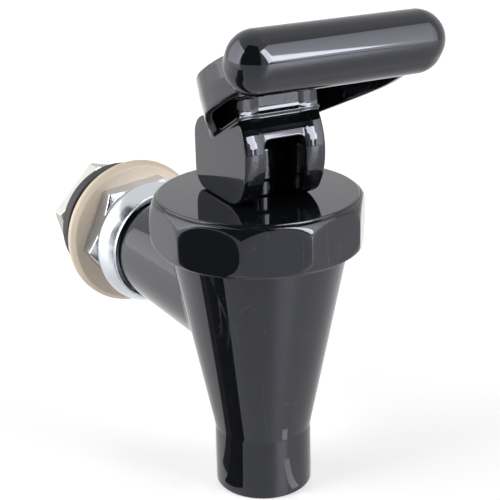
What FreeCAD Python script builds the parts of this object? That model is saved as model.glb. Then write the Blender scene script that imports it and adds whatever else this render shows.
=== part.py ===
import FreeCAD, Part
import math
import os

V = FreeCAD.Vector

# Self-closing dispenser tap. Millimetres and degrees.
# The origin is on the shank's axis, in the plane where the outer washer meets the vessel's
# wall. +Y runs along the shank into the vessel and +Z is up. The tap's upright axis, which
# carries spout, bonnet, stem and lever, stands at y = -reach.

reach = 51.5                # vessel wall to the upright axis
run_fit = 0.05              # radial clearance of a shaft in its hole
loose_fit = 0.1             # clearance between pieces that are screwed or laid together
soft_gap = 0.15             # clearance round the soft seat cup

# Tap body: spout, cone, neck and inlet arm, one moulding
spout_drop = 37.8           # shank's axis down to the spout's mouth
spout_r = 9.5
spout_h = 12.5
cone_top_r = 16.95
cone_top_z = 12.1
neck_r = 15.0               # screwed neck under the bonnet
neck_h = 6.1
neck_wall = 2.4
cone_wall = 2.6
outlet_r = 7.0
outlet_h = 20.0
throat_r = 6.2
floor_z = -6.0              # floor of the valve chamber
lip_w = 1.6                 # valve seat's raised lip
lip_h = 1.2
arm_r = 11.1                # at its coupling end
arm_draft = 2.2
passage_r = 5.2
tail_r = 8.7                # the arm's end inside the coupling nut
tail_land = 2.0             # the arm's end past its ring groove

# Bonnet: barrel-shaped screw cap with flats
bonnet_lift = 0.3           # its rim stands this far above the cone's shoulder
bonnet_h = 10.1
bonnet_rim_r = 19.3
bonnet_barrel_r = 20.65
bonnet_belt_low = 3.8       # belt of full radius, above the rim
bonnet_belt_high = 4.8
bonnet_top_r = 18.9
bonnet_edge = 0.5
barrel_bands = 3            # cones that stand for each curve of a barrel or dome
bonnet_top_t = 3.2
flat_count = 10
flat_apothem = 19.5
flat_turn = 12.0            # first corner, from +X towards +Y
guide_wall = 1.0
guide_h = 2.5

# Stem, spring and seat cup
stem_r = 3.95
head_r = 4.8                # ball radius of the stem's head, about the lever's pivot
pivot_rise = 6.2            # lever's pivot above the bonnet's top face
trunnion_r = 2.0
trunnion_l = 2.2
knob_r = 3.4
knob_h = 2.0
stem_neck_r = 2.2
stem_neck_h = 1.8
collar_r = 5.9
collar_h = 1.6
wire_d = 0.9
spring_r = 5.6              # to the middle of the wire
spring_turns = 5
wire_sides = 5
disc_r = 8.6                # seat cup's sealing disc
disc_h = 4.4
cup_wall = 0.9
cup_flange_t = 1.1

# Lever: grip bar, skirted plate and two cheeks, one moulding
lever_turn = -5.5           # lever turned about the upright axis, away from the arm's line
lever_gap = 0.1             # cheeks above the bonnet's top face
pull_angle = 40.0
cam_points = 9
cam_throw = 4.2             # stem lift for each radian of pull
hub_w = 15.8
slot_w = 8.1
hub_back = 9.8
hub_front = 10.75
hub_waist = 0.9             # cheeks' front edge draws in by this towards the plate
hub_bulge = 2.3             # widest place of that edge, above the pivot
heel_r = 3.8
shoulder_r = 4.4
hub_crown = 5.0             # hub's top, above the plate's underside
slot_back = 5.4
plate_slope = 28.2
plate_t = 6.7
plate_w = 36.3
plate_side = 18.0           # grip's middle to the plate's shoulders
plate_l = 37.6              # grip's middle to the plate's back end
plate_back_w = 14.4
plate_corner_r = 1.5
bow_r = 22.0                # plate's bowed sides, ahead of its shoulders
bow_middle = 12.0           # grip's middle to the plate's widest place
skirt_wall = 1.6
skin_t = 2.2
pocket_rib = 1.0
scoop_r = 20.0
grip_reach = 27.9           # upright axis forward to the grip's middle
grip_z = 53.4
grip_l = 39.2
grip_w = 10.0
grip_t = 10.6
grip_corner = 4.8
grip_tilt = 33.0

# Coupling nut, ring, gasket, shank, washers and lock nut
nut_gap = 0.3               # arm's shoulder to the nut
nut_l = 11.6
hex_af = 23.8
hex_t = 4.0
hex_turn = 5.0              # first corner, from +X towards +Z
hex_bevel = 30.0            # slope of a nut's turned corners
dome_r = 13.4
dome_front_r = 12.1
dome_back_r = 12.4
lip_out_r = 11.75
cup_in = 0.7                # depth that the arm's end sits in the nut's lip
nut_thread_r = 10.2
nut_wall_t = 2.1
ring_t = 1.4
ring_depth = 0.8
ring_split = 3.0
gasket_t = 1.3
gasket_hole_r = 5.8
shank_r = 7.94
shank_bore_r = 5.5
shank_end = 15.0
shank_chamfer = 0.8
washer_t = 2.5
washer_r = 16.1
washer_edge = 1.2
wall_space = 5.0            # room for the vessel's wall between the washers
inner_washer_t = 3.0
inner_washer_r = 13.6
lock_nut_t = 4.1
lock_nut_turn = 45.0

# Places that follow from the sizes
bonnet_z = cone_top_z + bonnet_lift
bonnet_top_z = bonnet_z + bonnet_h
ceiling_z = bonnet_top_z - bonnet_top_t
neck_top_z = cone_top_z + neck_h
seat_z = floor_z + lip_h
disc_top_z = seat_z + disc_h
collar_z = disc_top_z + 2 * soft_gap
knob_z = collar_z - stem_neck_h - knob_h
pivot_z = bonnet_top_z + pivot_rise
nut_back = -washer_t
nut_front = nut_back - nut_l
arm_end = nut_front + cup_in - nut_gap
ring_y = nut_front + cup_in + nut_wall_t
tail_end = ring_y + ring_t + tail_land
shank_front = tail_end + gasket_t
lock_nut_y = wall_space + inner_washer_t


def outline(plane, start, *steps):
    """Closed face through points (a, b); a step ((a, b), (c, d)) is an arc by the first."""
    edges = []
    here = start
    for step in steps + (start,):
        if isinstance(step[0], tuple):
            via, end = step
            edges.append(Part.Arc(plane(*here), plane(*via), plane(*end)).toShape())
            here = end
        elif step != here:
            edges.append(Part.LineSegment(plane(*here), plane(*step)).toShape())
            here = step
    return Part.Face(Part.Wire(edges))


def banded(start, via, end):
    """Points after start along the arc through three points, for turning into cones."""
    arc = Part.Arc(upright(*start), upright(*via), upright(*end)).toShape()
    return [(p.x, p.z) for p in arc.discretize(barrel_bands + 1)[1:]]


def quarter(start, end):
    """Point half way round the upright-to-level quarter curve from start to end."""
    turn = math.sqrt(0.5)
    return (end[0] + (start[0] - end[0]) * turn, start[1] + (end[1] - start[1]) * turn)


def upright(r, z):
    return V(r, 0, z)


def along(r, y):
    return V(r, y, 0)


def side(y, z):
    return V(0, y, z)


def turned_upright(start, *steps):
    """Solid turned about the tap's upright axis, from (radius, z) points."""
    face = outline(upright, start, *steps)
    solid = face.revolve(V(0, 0, 0), V(0, 0, 1), 360)
    solid.translate(V(0, -reach, 0))
    return solid


def turned_along(start, *steps):
    """Solid turned about the shank's axis, from (radius, y) points."""
    return outline(along, start, *steps).revolve(V(0, 0, 0), V(0, 1, 0), 360)


def on_circle(r, degrees):
    a = math.radians(degrees)
    return (r * math.cos(a), r * math.sin(a))


def cone_r(z):
    """Outer radius of the body's cone at height z."""
    foot_z = -spout_drop + spout_h
    return spout_r + (cone_top_r - spout_r) * (z - foot_z) / (cone_top_z - foot_z)


def tap_body():
    mouth_z = -spout_drop
    cone = turned_upright(
        (0, mouth_z), (spout_r, mouth_z), (spout_r, mouth_z + spout_h),
        (cone_top_r, cone_top_z), (neck_r, cone_top_z), (neck_r, neck_top_z), (0, neck_top_z))
    arm_root_r = arm_r + (reach + arm_end) * math.tan(math.radians(arm_draft))
    groove_r = tail_r - ring_depth - run_fit
    groove_y = ring_y - run_fit
    groove_end = ring_y + ring_t + run_fit
    arm = turned_along(
        (0, -reach), (arm_root_r, -reach), (arm_r, arm_end), (tail_r, arm_end),
        (tail_r, groove_y), (groove_r, groove_y), (groove_r, groove_end),
        (tail_r, groove_end), (tail_r, tail_end), (0, tail_end))
    # The arm's crown is flat where it runs in under the bonnet's rim
    above = Part.makeBox(4 * arm_r, reach, 2 * arm_r, V(-2 * arm_r, -reach, cone_top_z))
    solid = cone.fuse(arm.cut(above))
    # Valve chamber above the seat, which follows the cone's wall and then the neck's
    floor_r = cone_r(floor_z) - cone_wall
    chamber_r = neck_r - neck_wall
    lip_r = throat_r + lip_w
    open_z = neck_top_z + neck_wall
    chamber = turned_upright(
        (throat_r, floor_z - lip_h), (throat_r, seat_z), (lip_r, seat_z), (lip_r, floor_z),
        (floor_r, floor_z), (chamber_r, cone_top_z), (chamber_r, open_z), (0, open_z),
        (0, floor_z - lip_h))
    outlet_z = mouth_z + outlet_h
    outlet = turned_upright(
        (0, mouth_z), (outlet_r, mouth_z), (outlet_r, outlet_z), (throat_r, outlet_z + lip_h),
        (throat_r, floor_z), (0, floor_z))
    # The passage stops at the chamber's middle, clear of the seat's lip
    passage = Part.makeCylinder(passage_r, reach + tail_end - lip_r, V(0, lip_r - reach, 0),
                                V(0, 1, 0))
    seat_column = Part.makeCylinder(floor_r, passage_r, V(0, -reach, floor_z - passage_r))
    return solid.cut([chamber, outlet, passage.cut(seat_column)]).removeSplitter()


def bonnet():
    inner_r = neck_r + loose_fit
    guide_r = stem_r + run_fit
    guide_z = ceiling_z - guide_h
    rim = (bonnet_rim_r, bonnet_z)
    belt_low = (bonnet_barrel_r, bonnet_z + bonnet_belt_low)
    belt_high = (bonnet_barrel_r, bonnet_z + bonnet_belt_high)
    crown = (bonnet_top_r, bonnet_top_z - bonnet_edge)
    shell = turned_upright(
        (inner_r, bonnet_z), rim, *banded(rim, quarter(belt_low, rim), belt_low),
        belt_high, *banded(belt_high, quarter(belt_high, crown), crown),
        (bonnet_top_r - bonnet_edge, bonnet_top_z), (guide_r, bonnet_top_z),
        (guide_r, guide_z), (guide_r + guide_wall, guide_z),
        (guide_r + guide_wall, ceiling_z), (inner_r, ceiling_z))
    corner_r = flat_apothem / math.cos(math.pi / flat_count)
    corners = [V(*on_circle(corner_r, flat_turn + k * 360 / flat_count), bonnet_z)
               for k in range(flat_count)]
    prism = Part.Face(Part.makePolygon(corners + corners[:1])).extrude(V(0, 0, bonnet_h))
    prism.translate(V(0, -reach, 0))
    return shell.common(prism)


def stem():
    neck_z = knob_z + knob_h
    top_z = pivot_z + head_r
    shaft_z = pivot_z + math.sqrt(head_r ** 2 - stem_r ** 2)
    shoulder = (stem_r, shaft_z)
    half_way = math.asin(stem_r / head_r) / 2
    dome = (head_r * math.sin(half_way), pivot_z + head_r * math.cos(half_way))
    rod = turned_upright(
        (0, knob_z), (knob_r, knob_z), (knob_r, neck_z), (stem_neck_r, neck_z),
        (stem_neck_r, collar_z), (collar_r, collar_z), (collar_r, collar_z + collar_h),
        (stem_r, collar_z + collar_h), shoulder, *banded(shoulder, dome, (0, top_z)))
    half = stem_r + trunnion_l
    trunnions = Part.makeCylinder(trunnion_r, 2 * half, V(-half, -reach, pivot_z), V(1, 0, 0))
    return turned(rod.fuse(trunnions).removeSplitter())


def turned(shape):
    """Shape turned with the lever about the upright axis."""
    copy = shape.copy()
    copy.rotate(V(0, -reach, 0), V(0, 0, 1), lever_turn)
    return copy


def return_spring():
    """Open compression spring with both ends ground flat."""
    low_z = collar_z + collar_h
    length = ceiling_z - low_z
    pitch = (length - wire_d) / spring_turns
    start_z = low_z - pitch / 2
    path = Part.makeHelix(pitch, length + pitch, spring_r)
    path.translate(V(0, 0, start_z))
    points = [on_circle(wire_d / 2, 360 * k / wire_sides) for k in range(wire_sides)]
    corners = [V(spring_r + x, 0, start_z + z) for x, z in points]
    section = Part.makePolygon(corners + corners[:1])
    coil = Part.Wire(path.Edges).makePipeShell([section], True, True)
    coil = coil.common(Part.makeCylinder(2 * spring_r, length, V(0, 0, low_z)))
    coil.translate(V(0, -reach, 0))
    return turned(coil)


def seat_cup():
    """Silicone cup: sealing disc round the stem's knob, thin sleeve and clamped flange."""
    pocket_r = knob_r + soft_gap
    pocket_z = knob_z - soft_gap
    roof_z = knob_z + knob_h + soft_gap
    neck = stem_neck_r + soft_gap
    sleeve_r = collar_r + 2 * soft_gap
    out_r = sleeve_r + cup_wall
    flange_r = neck_r - soft_gap
    top_z = neck_top_z + cup_flange_t
    return turned_upright(
        (0, seat_z), (disc_r, seat_z), (disc_r, disc_top_z), (out_r, disc_top_z),
        (out_r, neck_top_z), (flange_r, neck_top_z), (flange_r, top_z), (sleeve_r, top_z),
        (sleeve_r, disc_top_z), (neck, disc_top_z), (neck, roof_z), (pocket_r, roof_z),
        (pocket_r, pocket_z), (0, pocket_z))


def cam_point(angle):
    """Point of the cheek's cam that meets the bonnet when the lever is pulled by angle.

    The cam is an involute: each radian of pull lifts the pivot by cam_throw.
    """
    height = pivot_rise - lever_gap + cam_throw * angle
    y = -height * math.sin(angle) - cam_throw * math.cos(angle)
    z = -height * math.cos(angle) + cam_throw * math.sin(angle)
    return (y, pivot_z + z)


def cheeks():
    """The hub, which the slot later splits into two cheeks: its side outline, extruded."""
    foot_z = bonnet_top_z + lever_gap
    steps = [math.radians(pull_angle) * k / (cam_points - 1) for k in range(cam_points)]
    cam = Part.BSplineCurve()
    cam.interpolate([side(*cam_point(angle)) for angle in steps])
    heel = (hub_back - heel_r, foot_z)
    heel_end = (hub_back, foot_z + heel_r)
    crown_y = hub_back - shoulder_r
    crown = (crown_y, under_plate_z(crown_y) + hub_crown)
    shoulder = (hub_back, crown[1] - shoulder_r)
    waist_y = hub_waist - hub_front
    waist = (waist_y, under_plate_z(waist_y))
    inside = (waist_y, waist[1] + plate_t / 2)
    bulge = (-hub_front, pivot_z + hub_bulge)
    cam_end = cam_point(steps[-1])
    lines = [(heel, cam_point(0)), (waist, inside), (inside, crown), (shoulder, heel_end)]
    arcs = [(cam_end, bulge, waist), (crown, quarter(shoulder, crown), shoulder),
            (heel_end, quarter(heel_end, heel), heel)]
    curves = [Part.LineSegment(side(*a), side(*b)) for a, b in lines]
    curves += [Part.Arc(side(*a), side(*b), side(*c)) for a, b, c in arcs]
    edges = [curve.toShape() for curve in curves + [cam]]
    hub = Part.Face(Part.Wire(Part.__sortEdges__(edges))).extrude(V(hub_w, 0, 0))
    hub.translate(V(-hub_w / 2, 0, 0))
    return hub


def under_plate_z(y):
    """Height of the plate's underside at y, in the lever's own upright plane."""
    slope = math.tan(math.radians(plate_slope))
    under = plate_t / 2 / math.cos(math.radians(plate_slope))
    return grip_z - slope * (y + grip_reach) - under


def tilted(shape):
    """Shape laid in the plate's middle plane, its own origin at the grip's middle."""
    copy = shape.copy()
    copy.rotate(V(0, 0, 0), V(1, 0, 0), -plate_slope)
    copy.translate(V(0, -grip_reach, grip_z))
    return copy


def plan(x, y):
    return V(x, y, -plate_t / 2)


def bowed_side(inset, front, inner):
    """Right side of the plate's plan, moved in by inset: a bow, then a straight to the back.

    Gives the bow's start at y = front, its middle, its end at the shoulder, and the place
    where the straight comes in to x = inner.
    """
    middle_x = plate_w / 2 - bow_r

    def on_bow(r, y):
        return (middle_x + math.sqrt(r ** 2 - (y - bow_middle) ** 2), y)

    shoulder_x = on_bow(bow_r, plate_side)[0]
    # (nx, ny) points straight out of the slanted side
    width, length = shoulder_x - plate_back_w / 2, plate_l - plate_side
    nx, ny = length / math.hypot(length, width), width / math.hypot(length, width)
    out = shoulder_x * nx + plate_side * ny - inset
    r = bow_r - inset
    height = out - middle_x * nx - bow_middle * ny
    run = math.sqrt(r ** 2 - height ** 2)
    end_y = bow_middle + height * ny - run * nx
    return (on_bow(r, front), on_bow(r, (front + end_y) / 2), on_bow(r, end_y),
            (inner, (out - inner * nx) / ny))


def plate():
    start, middle, end, back = bowed_side(0, 0, plate_back_w / 2)
    left = [(-x, y) for x, y in (start, middle, end, back)]
    face = outline(plan, start, (middle, end), back, left[3], left[2], (left[1], left[0]))
    slab = face.extrude(V(0, 0, plate_t))
    shoulders = [e for e in slab.Edges
                 if all(math.hypot(abs(v.X) - end[0], v.Y - end[1]) < 0.01 for v in e.Vertexes)]
    return tilted(slab.makeFillet(plate_corner_r, shoulders))


def pockets():
    """Two hollows under the plate's wings, each with a skirt left round it."""
    front = grip_w / 2 + skirt_wall
    inner = hub_w / 2 + pocket_rib
    start, middle, end, back = bowed_side(skirt_wall, front, inner)
    face = outline(plan, (inner, front), start, (middle, end), back)
    right = face.extrude(V(0, 0, plate_t - skin_t))
    left = right.mirror(V(0, 0, 0), V(1, 0, 0))
    return [tilted(right), tilted(left)]


def grip():
    """Bar of rounded square section with round ends."""
    w, t, c = grip_w / 2, grip_t / 2, grip_corner
    half_l = grip_l / 2 - w
    low, side_low, side_high, high = (w - c, -t), (w, c - t), (w, t - c), (w - c, t)
    edge = [low] + banded(low, quarter(side_low, low), side_low) + [side_high]
    edge += banded(side_high, quarter(side_high, high), high)
    bar = outline(side, *edge, *[(-a, b) for a, b in reversed(edge)])
    bar = bar.extrude(V(2 * half_l, 0, 0)).translated(V(-half_l, 0, 0))
    end = outline(upright, (0, -t), *edge, (0, t)).revolve(V(0, 0, 0), V(0, 0, 1), 360)
    solid = bar.fuse([end.translated(V(x, 0, 0)) for x in (-half_l, half_l)])
    solid.rotate(V(0, 0, 0), V(1, 0, 0), grip_tilt)
    solid.translate(V(0, -grip_reach, grip_z))
    return solid


def slot():
    """Space between the cheeks: open at the front and below, closed at the back."""
    front = -2 * hub_front
    face = outline(side, (front, bonnet_top_z), (slot_back, bonnet_top_z),
                   (slot_back, under_plate_z(slot_back)), (front, under_plate_z(front)))
    space = face.extrude(V(slot_w, 0, 0))
    space.translate(V(-slot_w / 2, 0, 0))
    return space


def scoop():
    """Round hollow under the plate's web, between the cheeks and the grip."""
    near_y = hub_waist - hub_front
    far_y = grip_w / 2 - grip_reach
    slope = math.radians(plate_slope)
    half = (near_y - far_y) / math.cos(slope) / 2
    drop = math.sqrt(scoop_r ** 2 - half ** 2)
    middle_y = (near_y + far_y) / 2
    middle = V(-hub_w / 2, middle_y - drop * math.sin(slope),
               under_plate_z(middle_y) - drop * math.cos(slope))
    return Part.makeCylinder(scoop_r, hub_w, middle, V(1, 0, 0))


def lever_handle():
    socket_half = stem_r + trunnion_l + loose_fit
    socket = Part.makeCylinder(trunnion_r + run_fit, 2 * socket_half,
                               V(-socket_half, 0, pivot_z), V(1, 0, 0))
    web = plate().cut(pockets() + [scoop()])
    solid = web.fuse([grip(), cheeks()]).cut([slot(), socket]).removeSplitter()
    solid.translate(V(0, -reach, 0))
    return turned(solid)


def hexagon(y0, y1, turn):
    """Six-sided prism along the shank's axis."""
    r = hex_af / 2 / math.cos(math.pi / 6)
    points = [on_circle(r, turn + 60 * k) for k in range(6)]
    corners = [V(x, y0, z) for x, z in points]
    return Part.Face(Part.makePolygon(corners + corners[:1])).extrude(V(0, y1 - y0, 0))


def nut_blank(y0, y1):
    """Turned blank whose cone cuts a nut's corners at the y0 end."""
    flat = hex_af / 2
    corner = flat / math.cos(math.pi / 6)
    bevelled = y0 + (corner - flat) * math.tan(math.radians(hex_bevel))
    return turned_along((0, y0), (flat, y0), (corner, bevelled), (corner, y1), (0, y1))


def coupling_nut():
    hex_y = nut_back - hex_t
    wall_y = nut_front + cup_in
    lip_in = arm_r + loose_fit
    front = (dome_front_r, wall_y)
    back = (dome_back_r, hex_y)
    dome = turned_along((0, wall_y), front,
                        *banded(front, (dome_r, (wall_y + hex_y) / 2), back), (0, hex_y))
    lip = turned_along((lip_in, wall_y), (lip_in, nut_front),
                       (lip_out_r, nut_front), (lip_out_r, wall_y))
    head = hexagon(hex_y, nut_back, hex_turn).common(nut_blank(hex_y, nut_back))
    tail_hole = tail_r + loose_fit
    bore = turned_along((0, wall_y), (tail_hole, wall_y), (tail_hole, ring_y),
                        (nut_thread_r, ring_y), (nut_thread_r, nut_back), (0, nut_back))
    return dome.fuse([head, lip]).cut(bore).removeSplitter()


def retaining_ring():
    """Split ring in the arm's groove, which the coupling nut pulls on."""
    out_r = nut_thread_r - loose_fit
    in_r = tail_r - ring_depth
    ring = turned_along((in_r, ring_y), (out_r, ring_y), (out_r, ring_y + ring_t),
                        (in_r, ring_y + ring_t))
    return ring.cut(Part.makeBox(ring_split, ring_t, out_r, V(-ring_split / 2, ring_y, -out_r)))


def inlet_gasket():
    return turned_along((gasket_hole_r, tail_end), (tail_r, tail_end), (tail_r, shank_front),
                        (gasket_hole_r, shank_front))


def shank():
    flange_r = nut_thread_r - loose_fit
    return turned_along(
        (shank_bore_r, shank_front), (flange_r, shank_front), (flange_r, nut_back),
        (shank_r, nut_back), (shank_r, shank_end - shank_chamfer),
        (shank_r - shank_chamfer, shank_end), (shank_bore_r, shank_end))


def outer_washer():
    hole = shank_r + loose_fit
    front = -washer_t
    return turned_along((hole, front), (washer_r - washer_edge, front),
                        (washer_r, front + washer_edge), (washer_r, 0), (hole, 0))


def inner_washer():
    hole = shank_r + loose_fit
    return turned_along((hole, wall_space), (inner_washer_r, wall_space),
                        (inner_washer_r, lock_nut_y), (hole, lock_nut_y))


def lock_nut():
    far = lock_nut_y + lock_nut_t
    nut = hexagon(lock_nut_y, far, lock_nut_turn)
    nut = nut.common([nut_blank(lock_nut_y, far)])
    hole = Part.makeCylinder(shank_r + loose_fit, lock_nut_t, V(0, lock_nut_y, 0), V(0, 1, 0))
    return nut.cut(hole)


pieces = {
    "tap_body": tap_body, "bonnet": bonnet, "stem": stem, "return_spring": return_spring,
    "seat_cup": seat_cup, "lever_handle": lever_handle, "coupling_nut": coupling_nut,
    "retaining_ring": retaining_ring, "inlet_gasket": inlet_gasket, "shank": shank,
    "outer_washer": outer_washer, "inner_washer": inner_washer, "lock_nut": lock_nut,
}
os.makedirs("parts", exist_ok=True)
for node, make in pieces.items():
    make().exportStep("parts/" + node + ".step")
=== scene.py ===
import math

import bpy
import numpy as np
from mathutils import Matrix, Vector


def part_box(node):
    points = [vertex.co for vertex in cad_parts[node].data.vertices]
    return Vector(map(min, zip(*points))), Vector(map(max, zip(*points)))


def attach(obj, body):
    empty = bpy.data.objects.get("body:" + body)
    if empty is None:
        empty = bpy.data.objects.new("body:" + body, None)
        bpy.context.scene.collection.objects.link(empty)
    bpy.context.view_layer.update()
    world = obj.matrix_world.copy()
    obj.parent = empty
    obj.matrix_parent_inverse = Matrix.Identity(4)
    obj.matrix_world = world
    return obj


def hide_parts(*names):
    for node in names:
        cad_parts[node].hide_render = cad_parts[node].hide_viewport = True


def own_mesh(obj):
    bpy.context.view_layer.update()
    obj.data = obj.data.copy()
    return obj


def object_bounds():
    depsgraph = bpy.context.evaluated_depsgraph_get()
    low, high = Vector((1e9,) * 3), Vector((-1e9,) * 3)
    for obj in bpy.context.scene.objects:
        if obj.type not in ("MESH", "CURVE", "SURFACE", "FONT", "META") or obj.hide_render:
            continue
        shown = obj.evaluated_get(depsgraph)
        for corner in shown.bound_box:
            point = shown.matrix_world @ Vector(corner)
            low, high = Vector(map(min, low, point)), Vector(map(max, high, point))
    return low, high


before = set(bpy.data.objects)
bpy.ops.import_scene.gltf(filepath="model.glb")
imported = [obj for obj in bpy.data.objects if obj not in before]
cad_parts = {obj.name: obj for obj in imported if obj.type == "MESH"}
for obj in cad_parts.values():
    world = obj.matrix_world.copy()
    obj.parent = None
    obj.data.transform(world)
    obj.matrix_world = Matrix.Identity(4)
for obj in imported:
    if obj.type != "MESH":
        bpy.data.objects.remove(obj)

# Self-closing dispenser tap. Shapes are worked out in millimetres, in the part's own frame:
# the shank runs along +Y into the vessel and the tap's upright axis stands at y = -REACH.

cad_box = [list(corner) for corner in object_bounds()]
MM = 0.001


def span(node, axis):
    """Lowest and highest place of a CAD node along one axis, in millimetres."""
    low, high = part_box(node)
    return low[axis] / MM, high[axis] / MM


REACH = 51.5
NUT_FRONT, NUT_BACK = span("coupling_nut", 1)
BONNET_Z, BONNET_TOP = span("bonnet", 2)
SPOUT_MOUTH = span("tap_body", 2)[0]
LEVER_TURN = -5.5        # lever turned about the upright axis
PIVOT_Z = BONNET_TOP + 6.2


# ---------------------------------------------------------------- materials

def colour(code, alpha=1.0):
    """Linear colour from an sRGB hex value."""
    parts = [int(code[i:i + 2], 16) / 255 for i in (0, 2, 4)]
    return [c / 12.92 if c <= 0.04045 else ((c + 0.055) / 1.055) ** 2.4 for c in parts] + [alpha]


def new_material(name, code, **inputs):
    """A material with its Principled shader set; returns the material, its tree and shader."""
    mat = bpy.data.materials.new(name)
    mat.use_nodes = True
    shader = mat.node_tree.nodes["Principled BSDF"]
    shader.inputs["Base Color"].default_value = colour(code)
    for key, value in inputs.items():
        shader.inputs[key.replace("_", " ")].default_value = value
    return mat, mat.node_tree, shader


def add(tree, kind, links=(), sockets=(), **settings):
    """Adds a node with its settings, socket values and links into it."""
    node = tree.nodes.new(kind)
    for key, value in settings.items():
        setattr(node, key, value)
    for socket, value in dict(sockets).items():
        node.inputs[socket].default_value = value
    for socket, source in links:
        tree.links.new(source, node.inputs[socket])
    return node


def glossy_black(name, code, roughness):
    """Black ABS, or acetal for the stem, injection-moulded in a polished tool: a wet gloss that
    mirrors its surroundings, with slow sink waves, handling haze, settled dust and fine rubs."""
    mat, tree, shader = new_material(name, code, IOR=1.53, Specular_Tint=colour("eeeffe"))
    where = add(tree, "ShaderNodeTexCoord").outputs["Object"]
    # Dust: round specks of 0.15 mm in cells of 1.2 mm, drawn coarse enough to show
    dust = add(tree, "ShaderNodeTexVoronoi", [("Vector", where)], {"Scale": 1 / (1.2 * MM)})
    keep = add(tree, "ShaderNodeMath", [(0, dust.outputs["Color"])], {1: 0.4},
               operation="GREATER_THAN")
    speck = add(tree, "ShaderNodeMapRange", [("Value", dust.outputs["Distance"])],
                {"From Min": 0.06, "From Max": 0.12, "To Min": 0.6, "To Max": 0.0})
    dusty = add(tree, "ShaderNodeMath", [(0, keep.outputs[0]), (1, speck.outputs[0])],
                operation="MULTIPLY")
    # Rubs: thin lines where stretched noise crosses its middle value, some 4 mm apart
    stretch = add(tree, "ShaderNodeMapping", [("Vector", where)],
                  {"Scale": (1, 1, 0.1), "Rotation": (0.5, 0.7, 0.2)})
    streak = add(tree, "ShaderNodeTexNoise", [("Vector", stretch.outputs[0])],
                 {"Scale": 1 / (4 * MM), "Detail": 0.0})
    off = add(tree, "ShaderNodeMath", [(0, streak.outputs["Fac"])], {1: 0.5},
              operation="SUBTRACT")
    off = add(tree, "ShaderNodeMath", [(0, off.outputs[0])], operation="ABSOLUTE")
    rub = add(tree, "ShaderNodeMapRange", [("Value", off.outputs[0])],
              {"From Max": 0.01, "To Min": 0.25, "To Max": 0.0})
    marks = add(tree, "ShaderNodeMath", [(0, dusty.outputs[0]), (1, rub.outputs[0])],
                operation="MAXIMUM")
    # Both gather in handled patches about 11 mm across
    patch = add(tree, "ShaderNodeTexNoise", [("Vector", where)],
                {"Scale": 1 / (11 * MM), "Detail": 2.0})
    patch = add(tree, "ShaderNodeMapRange", [("Value", patch.outputs["Fac"])],
                {"From Min": 0.5, "From Max": 0.62})
    marks = add(tree, "ShaderNodeMath", [(0, marks.outputs[0]), (1, patch.outputs[0])],
                operation="MULTIPLY")
    tint = add(tree, "ShaderNodeMix", [("Factor", marks.outputs[0])],
               {6: colour(code), 7: colour("6d6f72")}, data_type="RGBA")
    haze = add(tree, "ShaderNodeTexNoise", [("Vector", where)],
               {"Scale": 1 / (9 * MM), "Detail": 4.0})
    gloss = add(tree, "ShaderNodeMapRange", [("Value", haze.outputs["Fac"])],
                {"From Min": 0.35, "From Max": 0.7, "To Min": roughness,
                 "To Max": roughness + 0.04})
    rough = add(tree, "ShaderNodeMath", [(0, marks.outputs[0]), (2, gloss.outputs[0])],
                {1: 0.35}, operation="MULTIPLY_ADD")
    sink = add(tree, "ShaderNodeTexNoise", [("Vector", where)],
               {"Scale": 1 / (8 * MM), "Detail": 1.0})
    wave = add(tree, "ShaderNodeBump", [("Height", sink.outputs["Fac"])],
               {"Strength": 0.2, "Distance": 0.04 * MM})
    tree.links.new(tint.outputs[2], shader.inputs["Base Color"])
    tree.links.new(rough.outputs[0], shader.inputs["Roughness"])
    tree.links.new(wave.outputs[0], shader.inputs["Normal"])
    return mat


def plated(name, code, roughness, grain_mm):
    """Bright electroplate on a turned and stamped nut: mirror-like, with faint lathe and
    polishing unevenness that softens and bends what it reflects."""
    mat, tree, shader = new_material(name, code, Metallic=1.0)
    where = add(tree, "ShaderNodeTexCoord").outputs["Object"]
    grain = add(tree, "ShaderNodeTexNoise", [("Vector", where)],
                {"Scale": 1 / (grain_mm * MM), "Detail": 3.0})
    gloss = add(tree, "ShaderNodeMapRange", [("Value", grain.outputs["Fac"])],
                {"From Min": 0.3, "From Max": 0.7, "To Min": roughness,
                 "To Max": roughness * 1.8})
    bump = add(tree, "ShaderNodeBump", [("Height", grain.outputs["Fac"])],
               {"Strength": 0.3, "Distance": 0.04 * MM})
    tree.links.new(gloss.outputs[0], shader.inputs["Roughness"])
    tree.links.new(bump.outputs[0], shader.inputs["Normal"])
    return mat


def moulded_rubber(name, code, roughness, mottle):
    """Pressed sheet rubber or soft plastic: dull, faintly mottled, with a fine grain."""
    mat, tree, shader = new_material(name, code, Roughness=roughness, IOR=1.5)
    where = add(tree, "ShaderNodeTexCoord").outputs["Object"]
    cloud = add(tree, "ShaderNodeTexNoise", [("Vector", where)],
                {"Scale": 1 / (5 * MM), "Detail": 5.0})
    tint = add(tree, "ShaderNodeMix", [("Factor", cloud.outputs["Fac"])],
               {6: colour(code), 7: colour(mottle)}, data_type="RGBA")
    grain = add(tree, "ShaderNodeTexNoise", [("Vector", where)],
                {"Scale": 1 / (0.4 * MM), "Detail": 2.0})
    bump = add(tree, "ShaderNodeBump", [("Height", grain.outputs["Fac"])],
               {"Strength": 0.25, "Distance": 0.05 * MM})
    tree.links.new(tint.outputs[2], shader.inputs["Base Color"])
    tree.links.new(bump.outputs[0], shader.inputs["Normal"])
    return mat


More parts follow.
